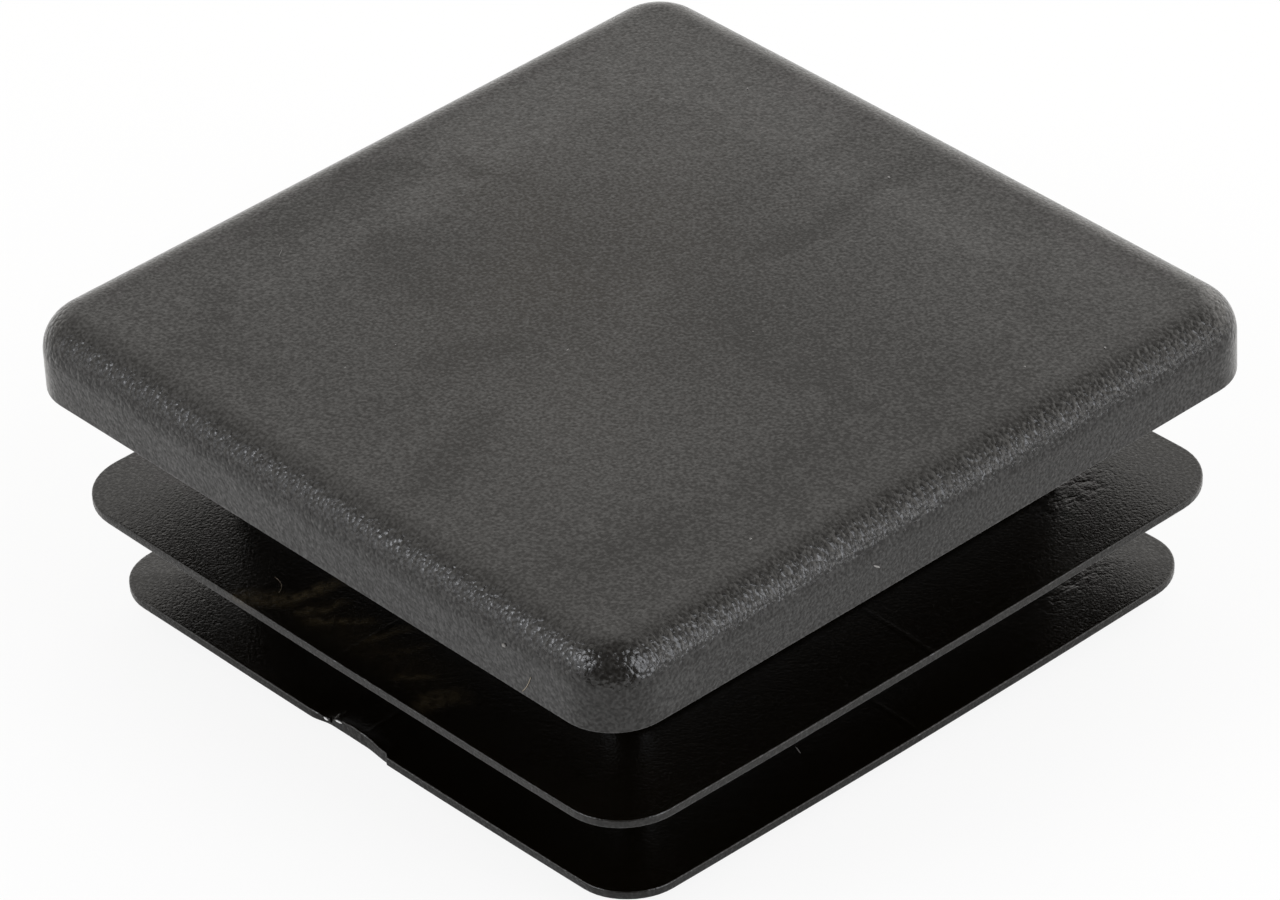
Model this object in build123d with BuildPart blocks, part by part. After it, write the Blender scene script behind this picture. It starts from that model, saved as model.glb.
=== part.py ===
from build123d import *
import math
import os

# Square ribbed end cap for a square tube, moulded in one piece.
#
# The head covers the cut end of the tube, and the hollow core goes inside it. Two thin
# fins around the core bend as the cap is driven in, and grip the inside of the tube.
#
# Frame: the origin is the centre of the seat, the underside of the head that rests on
# the end of the tube. +Z points out of the tube through the head, and X and Y are
# square to the sides.

# ---------------------------------------------------------------- driving dimensions, mm
tube_side = 50.0  # outside width of the tube that the cap closes

head_height = 5.0  # seat to top face
head_corner_radius = 3.5  # upright corners, in plan
head_edge_radius = 2.5  # round over the top edge

upper_fin_inset = 1.2  # outside of the tube to the upper fin's rim
lower_fin_inset = 2.45  # the lower fin is smaller, so that the cap starts easily
upper_fin_drop = 7.4  # seat to the upper fin's top face
fin_pitch = 6.15  # top face to top face
fin_reach = 6.3  # how far the upper fin stands out from the core
fin_corner_radius = 4.2
fin_rim_thickness = 0.55
fin_root_thickness = 0.95
fin_edge_break = 0.12  # the rim's two sharp edges are taken off
fin_root_radius = 0.4

core_tail = 1.5  # core below the lower fin's root
core_wall = 2.0  # at the mouth
core_corner_radius = 2.0
core_root_radius = 0.6  # fillet where the core meets the seat
mouth_chamfer = 0.4  # lead-in around the core's free end
roof_thickness = 2.8  # material between the cavity and the top face
roof_radius = 1.0  # fillet around the cavity's roof
cavity_corner_radius = 1.2
mould_draft = 1.0  # degrees

# ---------------------------------------------------------------- sizes that follow
upper_fin_side = tube_side - 2 * upper_fin_inset
lower_fin_side = tube_side - 2 * lower_fin_inset
lower_fin_drop = upper_fin_drop + fin_pitch
core_side = upper_fin_side - 2 * fin_reach
core_depth = lower_fin_drop + fin_root_thickness + core_tail
draft_per_mm = math.tan(math.radians(mould_draft))
roof_height = head_height - roof_thickness
rim_break = min(fin_edge_break, 0.4 * fin_rim_thickness)


def core_side_at(depth):
    """Outside width of the drafted core at a depth below the seat."""
    return core_side - 2 * depth * draft_per_mm


def level_edges(height):
    """The edges of the cap that lie in the plane at one height."""
    return end_cap.edges().filter_by(
        lambda edge: all(abs(vertex.Z - height) < 1e-4 for vertex in edge.vertices())
    )


def level_face(height):
    """The flat face of the cap in the plane at one height."""
    level_faces = end_cap.faces().filter_by(Axis.Z)
    return level_faces.sort_by(lambda face: abs(face.center().Z - height))[0]


with BuildPart() as end_cap:
    # Head: a square plate with rounded corners and a round top edge.
    with BuildSketch(Plane.XY):
        RectangleRounded(tube_side, tube_side, head_corner_radius)
    extrude(amount=head_height)
    fillet(level_edges(head_height), head_edge_radius)

    # Core: a post under the head, drafted so that it leaves the mould.
    with BuildSketch(Plane.XY):
        RectangleRounded(core_side, core_side, core_corner_radius)
    extrude(amount=-core_depth, taper=mould_draft)
    chamfer(level_edges(-core_depth), mouth_chamfer)
    fillet(level_face(0).inner_wires()[0].edges(), core_root_radius)

    # Fins: a flat top, a thin rim with its edges broken, and an underside that thickens
    # towards the core. Each row is a section through the fin: width, depth and radius.
    for side, drop in ((upper_fin_side, upper_fin_drop), (lower_fin_side, lower_fin_drop)):
        rim_bottom = drop + fin_rim_thickness
        root_bottom = drop + fin_root_thickness
        fin_sections = (
            (side - 2 * rim_break, drop, fin_corner_radius - rim_break),
            (side, drop + rim_break, fin_corner_radius),
            (side, rim_bottom - rim_break, fin_corner_radius),
            (side - 2 * rim_break, rim_bottom, fin_corner_radius - rim_break),
            (core_side_at(root_bottom), root_bottom, core_corner_radius),
        )
        for width, depth, radius in fin_sections:
            with BuildSketch(Plane.XY.offset(-depth)):
                RectangleRounded(width, width, radius)
        loft(ruled=True)
        fillet(level_face(-drop).inner_wires()[0].edges(), fin_root_radius)

    # Cavity: open at the mouth, and carried up into the head so that the walls match.
    mouth_side = core_side_at(core_depth) - 2 * core_wall
    with BuildSketch(Plane.XY.offset(-core_depth)):
        RectangleRounded(mouth_side, mouth_side, cavity_corner_radius)
    extrude(amount=core_depth + roof_height, taper=mould_draft, mode=Mode.SUBTRACT)
    fillet(level_edges(roof_height), roof_radius)

end_cap.part.label = "end_cap"

os.makedirs("parts", exist_ok=True)
export_step(end_cap.part, "parts/end_cap.step")
print(f"end_cap: {end_cap.part.volume:.1f} mm3, core {core_side:.2f} mm square, {core_depth:.2f} mm deep")
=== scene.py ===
"""A square tube end cap in black polyethylene, standing on a pale table under soft light.

The cap is one moulding, so it is one closed skin. The skin is drawn ring by ring along the
cap's profile: over the head, under it to the core, around the two fins, past the mouth and
up into the cavity. What the mould and later handling did to it is then worked into the skin.
"""

import logging
import math
from dataclasses import dataclass
from enum import Enum
from typing import Callable

import bmesh
import bpy
from mathutils import Matrix, Vector, noise


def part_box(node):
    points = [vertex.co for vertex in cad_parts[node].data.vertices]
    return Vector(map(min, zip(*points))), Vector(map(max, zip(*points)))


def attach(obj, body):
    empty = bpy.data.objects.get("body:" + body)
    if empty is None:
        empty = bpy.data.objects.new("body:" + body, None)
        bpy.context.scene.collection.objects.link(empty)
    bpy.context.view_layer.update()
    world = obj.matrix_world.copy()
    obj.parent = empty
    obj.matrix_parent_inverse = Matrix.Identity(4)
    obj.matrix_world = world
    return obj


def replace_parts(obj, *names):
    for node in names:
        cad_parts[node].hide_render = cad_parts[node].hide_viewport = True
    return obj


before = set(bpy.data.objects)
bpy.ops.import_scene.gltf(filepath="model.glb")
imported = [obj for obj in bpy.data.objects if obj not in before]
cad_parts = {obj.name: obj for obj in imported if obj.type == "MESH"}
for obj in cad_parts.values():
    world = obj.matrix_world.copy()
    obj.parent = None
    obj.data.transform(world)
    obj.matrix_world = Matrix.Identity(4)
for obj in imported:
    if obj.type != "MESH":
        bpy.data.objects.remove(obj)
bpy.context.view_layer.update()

MM = 0.001
NODE = "end_cap"
BODY = "root"
GLOSS = "gloss"
WARMTH = "warmth"

# Unless it is seeded, vector noise differs from run to run.
NOISE_SEED = 7

WHITE = (1.0, 1.0, 1.0, 1.0)
TINY = 1e-6

# The signs of x and y at the front left, front right, back right and back left corners.
CORNERS = ((-1, -1), (1, -1), (1, 1), (-1, 1))

Span = tuple[float, float]
Place = tuple[float, float, float]
Colour = tuple[float, float, float, float]
FourSides = tuple[float, float, float, float]
Edges = list[bmesh.types.BMEdge]

log = logging.getLogger("end_cap")


# ------------------------------------------------------------------------ helpers


def clamp(value: float, low: float = 0.0, high: float = 1.0) -> float:
    """The value, held between two limits."""
    return max(low, min(high, value))


def ease(value: float, start: float, end: float) -> float:
    """Rises smoothly from 0, where the value is at its start, to 1 at its end."""
    share = clamp((value - start) / (end - start))
    return share * share * (3.0 - 2.0 * share)


def bell(value: float, centre: float, width: float) -> float:
    """A smooth hump of height 1 at its centre, about as wide on each side as its width."""
    return math.exp(-(((value - centre) / width) ** 2))


def direction(azimuth: float, elevation: float) -> Vector:
    """Unit vector that points away from the cap.

    Args:
        azimuth: Degrees from +X towards +Y.
        elevation: Degrees above the horizon.

    Returns:
        The direction in the row frame.
    """
    turn, rise = math.radians(azimuth), math.radians(elevation)
    return Vector((math.cos(turn) * math.cos(rise), math.sin(turn) * math.cos(rise), math.sin(rise)))


def extrude_border(shape: bmesh.types.BMesh, border: Edges) -> Edges:
    """Extrudes the open border of a shape.

    Args:
        shape: The shape.
        border: The edges around its opening.

    Returns:
        The edges around the new opening, which still lie where the old ones do.
    """
    made = bmesh.ops.extrude_edge_only(shape, edges=border)["geom"]
    return [item for item in made if isinstance(item, bmesh.types.BMEdge) and item.is_boundary]


def verts_of(edges: Edges) -> list[bmesh.types.BMVert]:
    """The vertices of some edges, each of them once."""
    return list({vert for edge in edges for vert in edge.verts})


def mesh_of(shape: bmesh.types.BMesh, name: str, material: bpy.types.Material) -> bpy.types.Mesh:
    """Turns a finished bmesh into a mesh.

    Args:
        shape: The finished shape. It is freed here.
        name: The mesh's name.
        material: Its finish.

    Returns:
        The new mesh.
    """
    mesh = bpy.data.meshes.new(name)
    shape.to_mesh(mesh)
    shape.free()
    mesh.materials.append(material)
    return mesh


def put_in_scene(name: str, data: bpy.types.ID) -> bpy.types.Object:
    """Makes an object of a mesh, a light or a camera and puts it in the scene.

    Args:
        name: The object's name.
        data: The mesh, the light or the camera.

    Returns:
        The new object, at the origin and unturned.
    """
    thing = bpy.data.objects.new(name, data)
    bpy.context.scene.collection.objects.link(thing)
    return thing


def show_piece(shape: bmesh.types.BMesh, name: str, material: bpy.types.Material) -> bpy.types.Object:
    """Turns a finished bmesh into a smooth shaded piece that rides on the cap's body.

    Args:
        shape: The finished shape in the row frame. It is freed here.
        name: The piece's name.
        material: Its finish.

    Returns:
        The new piece.
    """
    mesh = mesh_of(shape, name, material)
    mesh.shade_smooth()
    piece = put_in_scene(name, mesh)
    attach(piece, BODY)
    log.info("%s: %d vertices, %d faces", name, len(mesh.vertices), len(mesh.polygons))
    return piece


# ------------------------------------------------------------------------ profile


class Leaves(Enum):
    """How a quarter round leaves the outline that it starts from."""

    LEVEL = "level"
    UPRIGHT = "upright"


@dataclass(frozen=True)
class Outline:
    """A level outline of the cap: a square with rounded corners.

    Attributes:
        half: Half the width between two flat sides.
        radius: Radius of its corners.
        z: Its height.
    """

    LEAST_RADIUS = 0.05 * MM

    half: float
    radius: float
    z: float

    def grown(self, by: float, z: float) -> "Outline":
        """The outline moved outwards by a distance, at another height."""
        return Outline(self.half + by, max(self.radius + by, self.LEAST_RADIUS), z)

    def toward(self, other: "Outline", outward: float, upward: float) -> "Outline":
        """An outline on the way to another one.

        Args:
            other: The outline at the end of the way.
            outward: Share of the change in width.
            upward: Share of the change in height.

        Returns:
            The outline in between.
        """
        return Outline(
            self.half + outward * (other.half - self.half),
            self.radius + outward * (other.radius - self.radius),
            self.z + upward * (other.z - self.z),
        )


class Profile:
    """The cap's outlines in order, from the top face around to the roof of the cavity.

    A straight stretch has a row close to each of its ends, which keeps its shading flat. HOLD is
    how far from the end that row lies, and MOST_HELD the largest share of the stretch it may take.
    """

    HOLD = 0.07 * MM
    MOST_HELD = 0.3

    def __init__(self, start: Outline) -> None:
        """Starts the profile at one outline."""
        self.outlines = [start]

    def line_to(self, end: Outline, pitch: float = 1.3 * MM) -> None:
        """Adds a straight stretch.

        Args:
            end: The outline at its end.
            pitch: The widest step between rows.
        """
        start = self.outlines[-1]
        length = math.hypot(end.half - start.half, end.z - start.z)
        hold = min(self.HOLD, self.MOST_HELD * length) / length
        steps = max(1, math.ceil((1.0 - 2.0 * hold) * length / pitch))
        shares = [hold + (1.0 - 2.0 * hold) * step / steps for step in range(steps + 1)]
        self.outlines += [start.toward(end, share, share) for share in [*shares, 1.0]]

    def round_to(self, end: Outline, leaves: Leaves, steps: int) -> None:
        """Adds a quarter round.

        Args:
            end: The outline at its end.
            leaves: Whether it leaves its start level or upright.
            steps: Rows in the round.
        """
        start = self.outlines[-1]
        for step in range(1, steps + 1):
            angle = 0.5 * math.pi * step / steps
            fast, slow = math.sin(angle), 1.0 - math.cos(angle)
            shares = (fast, slow) if leaves is Leaves.LEVEL else (slow, fast)
            self.outlines.append(start.toward(end, *shares))


# ------------------------------------------------------------------------ parts of the moulding


@dataclass(frozen=True)
class Head:
    """The plate that covers the cut end of the tube.

    Attributes:
        half: Half its width.
        height: How high its top stands over the seat.
        corner_radius: Radius of its upright corners.
        edge_radius: Radius of the edge around its top.
        seat_break: Radius of the small break at the seat's edge.
        crown: How far the middle of its top stands up.
        crown_flat: How far from the middle the crown starts to fall.
        crown_foot: How far from the middle the crown ends.
        bows: How far the middles of its sides stand out, in the order +X, +Y, -X and -Y.
        seat_margin: How far below the seat a point still belongs to the head.
        squareness: The power that gives the crown a square foot and keeps each bow to its side.
        ripple: Height of the waves in its top.
        ripple_pitch: Size of those waves.
    """

    half: float
    height: float
    corner_radius: float = 3.5 * MM
    edge_radius: float = 2.5 * MM
    seat_break: float = 0.08 * MM
    crown: float = 0.08 * MM
    crown_flat: float = 14.4 * MM
    crown_foot: float = 21.2 * MM
    bows: FourSides = (0.07 * MM, 0.13 * MM, -0.09 * MM, 0.0)
    seat_margin: float = 0.01 * MM
    squareness: int = 6
    ripple: float = 0.012 * MM
    ripple_pitch: float = 9.0 * MM

    def side(self, z: float) -> Outline:
        """The outline of the head's upright side."""
        return Outline(self.half, self.corner_radius, z)

    def draw(self, profile: Profile, neck: Outline) -> None:
        """Draws the edge, the side and the seat, from the top face to the core.

        Args:
            profile: The profile, which stands on the top face.
            neck: The outline on the seat where the core's root fillet starts.
        """
        profile.line_to(self.side(self.height).grown(-self.edge_radius, self.height))
        profile.round_to(self.side(self.height - self.edge_radius), Leaves.LEVEL, steps=14)
        profile.line_to(self.side(self.seat_break))
        profile.round_to(self.side(0.0).grown(-self.seat_break, 0.0), Leaves.UPRIGHT, steps=3)
        profile.line_to(neck, pitch=1.6 * MM)

    def bow(self, toward: float, along: float, plus: float, minus: float) -> float:
        """How far two opposite sides bow out at a place.

        Args:
            toward: Where the place lies between the two sides, from -1 to 1.
            along: Where it lies along them, from -1 to 1.
            plus: The bow of the side at 1.
            minus: The bow of the side at -1.

        Returns:
            The distance, in the direction from -1 to 1.
        """
        power = self.squareness
        return (1.0 - along**2) * (plus * max(toward, 0.0) ** power - minus * min(toward, 0.0) ** power)

    def shift(self, point: Vector) -> Vector:
        """How far a point of the head has moved: its top crowns over the core, its sides bow.

        Args:
            point: The point before it moved.

        Returns:
            Its movement, which is nothing below the seat.
        """
        if point.z < -self.seat_margin:
            return Vector()
        power = self.squareness
        reach = (abs(point.x) ** power + abs(point.y) ** power) ** (1.0 / power)
        flat = 1.0 - ease(reach, self.crown_flat, self.crown_foot)
        ripple = self.ripple * noise.noise(Vector((point.x, point.y, 0.0)) / self.ripple_pitch)
        raised = ease(point.z, 0.5 * self.height, self.height) * (self.crown * flat + ripple)
        x, y = point.x / self.half, point.y / self.half
        right, back, left, front = self.bows
        return Vector((self.bow(x, y, right, left), self.bow(y, x, back, front), raised))


@dataclass(frozen=True)
class Core:
    """The hollow post below the head, drafted so that it leaves the mould.

    Attributes:
        half: Half its width at the seat.
        depth: How far it reaches below the seat.
        corner_radius: Radius of its upright corners.
        root_radius: Radius of the fillet at the seat.
        wall: Thickness of its wall at the mouth.
        mouth_break: Size of the lead-in around its mouth.
        draft: How much narrower each side gets per unit of depth.
        roof_height: How high the cavity's roof lies over the seat.
        roof_radius: Radius of the fillet at the roof.
        cavity_corner_radius: Radius of the cavity's upright corners.
        cavity_break: Radius of the small break at the cavity's mouth.
        roof_middle: Half the width and the corner radius of the last face of the roof.
    """

    half: float
    depth: float
    corner_radius: float = 2.0 * MM
    root_radius: float = 0.6 * MM
    wall: float = 2.0 * MM
    mouth_break: float = 0.4 * MM
    draft: float = math.tan(math.radians(1.0))
    roof_height: float = 2.2 * MM
    roof_radius: float = 1.0 * MM
    cavity_corner_radius: float = 1.2 * MM
    cavity_break: float = 0.12 * MM
    roof_middle: Span = (2.0 * MM, 0.4 * MM)

    def at(self, z: float) -> Outline:
        """The core's outline at one height."""
        return Outline(self.half + z * self.draft, self.corner_radius, z)

    def cavity_at(self, z: float) -> Outline:
        """The cavity's outline at one height."""
        mouth = self.at(-self.depth).half - self.wall
        return Outline(mouth - (z + self.depth) * self.draft, self.cavity_corner_radius, z)

    def neck(self) -> Outline:
        """Where the fillet at the core's root meets the seat."""
        return self.at(0.0).grown(self.root_radius, 0.0)

    def draw_root(self, profile: Profile) -> None:
        """Draws the fillet from the seat down to the core's wall."""
        profile.round_to(self.at(-self.root_radius), Leaves.LEVEL, steps=5)

    def draw_mouth(self, profile: Profile) -> None:
        """Draws the tail, the lead-in and the rim of the mouth."""
        profile.line_to(self.at(-self.depth + self.mouth_break))
        profile.line_to(self.at(-self.depth).grown(-self.mouth_break, -self.depth), pitch=0.3 * MM)
        mouth = self.cavity_at(-self.depth)
        profile.line_to(mouth.grown(self.cavity_break, -self.depth), pitch=0.8 * MM)
        profile.round_to(self.cavity_at(-self.depth + self.cavity_break), Leaves.LEVEL, steps=3)

    def draw_cavity(self, profile: Profile) -> None:
        """Draws the cavity's wall, the fillet at its roof and the roof."""
        profile.line_to(self.cavity_at(self.roof_height - self.roof_radius), pitch=2.4 * MM)
        roof = self.cavity_at(self.roof_height)
        profile.round_to(roof.grown(-self.roof_radius, self.roof_height), Leaves.UPRIGHT, steps=6)
        profile.line_to(Outline(*self.roof_middle, self.roof_height), pitch=3.0 * MM)


@dataclass(frozen=True)
class Fin:
    """A thin fin around the core, with a flat top and an underside that thickens inwards.

    Attributes:
        half: Half its width.
        top: Height of its top at the root.
        droop: How far its rim hangs below its root.
        lifts: How much higher than that each corner stands, in the order of CORNERS.
        corner_radius: Radius of its corners.
        rim_thickness: Its thickness at the rim.
        root_thickness: Its thickness at the core.
        edge_break: Radius of the breaks along its rim.
        root_radius: Radius of the fillet where its top meets the core.
        under_radius: Radius of the fillet where its underside meets the core.
        sway: How far it waves up and down.
        sway_pitch: Size of those waves.
        sway_step: Times its height that its waves are taken from, so that no two fins wave alike.
    """

    half: float
    top: float
    droop: float
    lifts: FourSides
    corner_radius: float
    rim_thickness: float = 0.55 * MM
    root_thickness: float = 0.95 * MM
    edge_break: float = 0.1 * MM
    root_radius: float = 0.4 * MM
    under_radius: float = 0.25 * MM
    sway: float = 0.05 * MM
    sway_pitch: float = 11.0 * MM
    sway_step: float = 3.0

    def rim(self, z: float) -> Outline:
        """The outline of the fin's rim."""
        return Outline(self.half, self.corner_radius, z)

    def draw(self, profile: Profile, core: Core) -> None:
        """Draws the fin, from the core's wall above it to the core's wall below it.

        Args:
            profile: The profile, which stands on the core above the fin.
            core: The core that carries the fin.
        """
        rim_bottom = self.top - self.rim_thickness
        root_bottom = self.top - self.root_thickness
        root = core.at(self.top)
        under = core.at(root_bottom)
        profile.line_to(core.at(self.top + self.root_radius))
        profile.round_to(root.grown(self.root_radius, self.top), Leaves.UPRIGHT, steps=4)
        profile.line_to(self.rim(self.top).grown(-self.edge_break, self.top), pitch=0.9 * MM)
        profile.round_to(self.rim(self.top - self.edge_break), Leaves.LEVEL, steps=3)
        profile.line_to(self.rim(rim_bottom + self.edge_break), pitch=0.2 * MM)
        profile.round_to(self.rim(0.0).grown(-self.edge_break, rim_bottom), Leaves.UPRIGHT, steps=3)
        profile.line_to(under.grown(self.under_radius, root_bottom), pitch=1.1 * MM)
        profile.round_to(core.at(root_bottom - self.under_radius), Leaves.LEVEL, steps=3)

    def reach_of(self, point: Vector, core: Core) -> float:
        """How far out on the fin a point lies.

        Args:
            point: The point before it moved.
            core: The core that carries the fin.

        Returns:
            0 at the core or off the fin, 1 at the rim.
        """
        bottom = self.top - self.root_thickness - self.under_radius
        if not bottom < point.z < self.top + self.root_radius:
            return 0.0
        inner = core.at(self.top).half
        return clamp((max(abs(point.x), abs(point.y)) - inner) / (self.half - inner))

    def shift(self, point: Vector, core: Core) -> Vector:
        """How far a point of the fin has moved: it droops, its corners lift and its flanks sway.

        Args:
            point: The point before it moved.
            core: The core that carries the fin.

        Returns:
            Its movement, which is nothing off the fin.
        """
        out = self.reach_of(point, core)
        if out == 0.0:
            return Vector()
        x, y = point.x / self.half, point.y / self.half
        lift = sum(
            height * clamp(x * sign_x) ** 2 * clamp(y * sign_y) ** 2
            for height, (sign_x, sign_y) in zip(self.lifts, CORNERS)
        )
        place = Vector((point.x, point.y, self.sway_step * self.top)) / self.sway_pitch
        return Vector((0.0, 0.0, out * out * (lift - self.droop + self.sway * noise.noise(place))))


# ------------------------------------------------------------------------ what moulding and use left


@dataclass(frozen=True)
class CrushedRim:
    """A stretch of a fin's front rim that tore at its left end, was pushed in and curled up.

    Attributes:
        fin: The fin that carries it.
        tear: Where the rim tore.
        end: Where the curled stretch ends, in a small step.
        run_in: How far left of the tear the rim starts to bend inwards.
        push: How far it is pushed in at the tear and at its end.
        push_eases: The share of the stretch at which the push starts to lessen.
        curl: How far it is curled up at the tear, at its highest and at its end.
        curl_starts: How far right of the tear the curl has set in.
        curl_peak: The shares of the stretch between which it is highest.
        lumps: How uneven the curl is, as a share of it.
        lump_pitch: Size of its lumps.
        lump_place: Where in the noise the lumps are taken, across the rim's height and beside it.
        step: Half the length of the step at its end.
        fade: How far inwards from the rim the fin is bent.
        full: How far inwards from the rim it is bent in full.
        under: How far below the fin's top the skin moves.
        finer: How far above and below the fin's top the skin is divided more finely.
        gap: Half the width of the tear.
        gap_depth: How deep the tear cuts into the rim.
        slump: How far the rim's edge is worn down beside the tear.
        worn: How far left of the tear it is worn most.
        worn_width: Half the length of the worn stretch.
        edge_power: The power that keeps the tear and the wear to the rim's edge.
    """

    fin: Fin
    tear: float = -2.62 * MM
    end: float = 2.38 * MM
    run_in: float = 1.5 * MM
    push: Span = (0.28 * MM, 0.12 * MM)
    push_eases: float = 0.6
    curl: Place = (0.0, 0.31 * MM, 0.15 * MM)
    curl_starts: float = 0.225 * MM
    curl_peak: Span = (0.35, 0.4)
    lumps: float = 0.15
    lump_pitch: float = 0.5 * MM
    lump_place: Span = (7.0, 3.0)
    step: float = 0.06 * MM
    fade: float = 0.9 * MM
    full: float = 0.135 * MM
    under: float = 0.77 * MM
    finer: float = 0.66 * MM
    gap: float = 0.09 * MM
    gap_depth: float = 0.30 * MM
    slump: float = 0.17 * MM
    worn: float = 0.36 * MM
    worn_width: float = 0.495 * MM
    edge_power: int = 4

    def near(self, point: Vector, margin: float) -> bool:
        """Whether a point lies where the skin has to be finer to take the bent stretch."""
        return (
            self.tear - self.run_in < point.x < self.end + margin
            and point.y < -self.fin.half + self.fade
            and abs(point.z - self.fin.top) < self.finer
        )

    def near_tear(self, point: Vector, margin: float) -> bool:
        """Whether a point lies where the skin has to be finest to take the tear."""
        return self.near(point, margin) and abs(point.x - self.tear) < margin

    def pushed_in(self, x: float, share: float) -> float:
        """How far the rim is pushed in, at a place along x and its share of the stretch."""
        bent = ease(x, self.tear - self.run_in, self.tear + self.gap)
        at_tear, at_end = self.push
        return bent * (at_tear - (at_tear - at_end) * ease(share, self.push_eases, 1.0))

    def curled_up(self, x: float, share: float, upper: float) -> float:
        """How far the rim is curled up.

        Args:
            x: The place along x.
            share: Its share of the stretch.
            upper: 1 on the fin's top, 0 at the rim's bottom.

        Returns:
            The distance upwards.
        """
        first, highest, last = self.curl
        rises, falls = self.curl_peak
        height = first + (highest - first) * ease(share, 0.0, rises)
        height -= (highest - last) * ease(share, falls, 1.0)
        across, beside = self.lump_place
        lump = noise.noise(Vector((x / self.lump_pitch, across * upper, beside)))
        return ease(x, self.tear, self.tear + self.curl_starts) * height * (1.0 + self.lumps * lump)

    def shift(self, point: Vector) -> Vector:
        """How far a point near the rim has been pushed.

        Args:
            point: The point before it moved.

        Returns:
            Its movement, which is nothing away from the rim.
        """
        x, rim = point.x, self.fin.half
        depth = self.fin.top - point.z
        if not -self.fin.edge_break < depth < self.under or -point.y < rim - self.fade:
            return Vector()
        out = ease(-point.y, rim - self.fade, rim - self.full)
        upper = 1.0 - ease(depth, 0.0, self.fin.rim_thickness)
        share = (x - self.tear) / (self.end - self.tear)
        held = 1.0 - ease(x, self.end - self.step, self.end + self.step)
        cut = self.gap_depth * bell(x, self.tear, self.gap)
        worn = self.slump * bell(x, self.tear - self.worn, self.worn_width)
        lowered = out**self.edge_power * (cut + worn)
        raised = out * held * self.curled_up(x, share, upper) - lowered
        return Vector((0.0, out * held * self.pushed_in(x, share), upper * raised))


@dataclass(frozen=True)
class PartingRidge:
    """The fine raised line across a fin's top and rim where two slides of the mould met.

    Attributes:
        fin: The fin that it crosses.
        height: How far it stands out.
        width: Half its width.
        run_out: The share of the fin's reach over which it rises from the core.
        rim_starts: The share of the fin's reach beyond which it also stands out sideways.
    """

    fin: Fin
    height: float = 0.035 * MM
    width: float = 0.11 * MM
    run_out: float = 0.3
    rim_starts: float = 0.97

    def shift(self, point: Vector, core: Core) -> Vector:
        """How far a point near the line is raised.

        Args:
            point: The point before it moved.
            core: The core that carries the fin.

        Returns:
            Its movement, which is nothing away from the line.
        """
        out = self.fin.reach_of(point, core)
        if out == 0.0 or point.z < self.fin.top - self.fin.rim_thickness:
            return Vector()
        across = point.y if abs(point.x) > abs(point.y) else point.x
        ridge = self.height * bell(across, 0.0, self.width) * ease(out, 0.0, self.run_out)
        side = Vector((point.x, point.y, 0.0)).normalized() if out > self.rim_starts else Vector()
        return Vector((0.0, 0.0, ridge)) + side * ridge


@dataclass(frozen=True)
class FlowMark:
    """A faint stroke in the top face, where the melt met or folded as it filled the mould.

    Attributes:
        route: Places along it, in millimetres, seen from above.
        width: Half its width, in millimetres.
        gloss: How much glossier than the rest it is, below 0 where it is duller.
        fade: Share of the width in which it fades out.
    """

    route: tuple[Span, ...]
    width: float
    gloss: float
    fade: float = 1.0

    def at(self, x: float, y: float) -> float:
        """The stroke's gloss at a place, fading towards its edges."""
        nearest = min(self.distance(x, y, start, end) for start, end in zip(self.route, self.route[1:]))
        return self.gloss * (1.0 - ease(nearest, (1.0 - self.fade) * self.width, self.width))

    @staticmethod
    def distance(x: float, y: float, start: Span, end: Span) -> float:
        """How far a place lies from a straight stretch of the route.

        Args:
            x: The place along x.
            y: The place along y.
            start: Where the stretch starts.
            end: Where it ends.

        Returns:
            The distance, in millimetres.
        """
        span_x, span_y = end[0] - start[0], end[1] - start[1]
        share = clamp(((x - start[0]) * span_x + (y - start[1]) * span_y) / (span_x**2 + span_y**2))
        return math.hypot(x - start[0] - share * span_x, y - start[1] - share * span_y)


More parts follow.
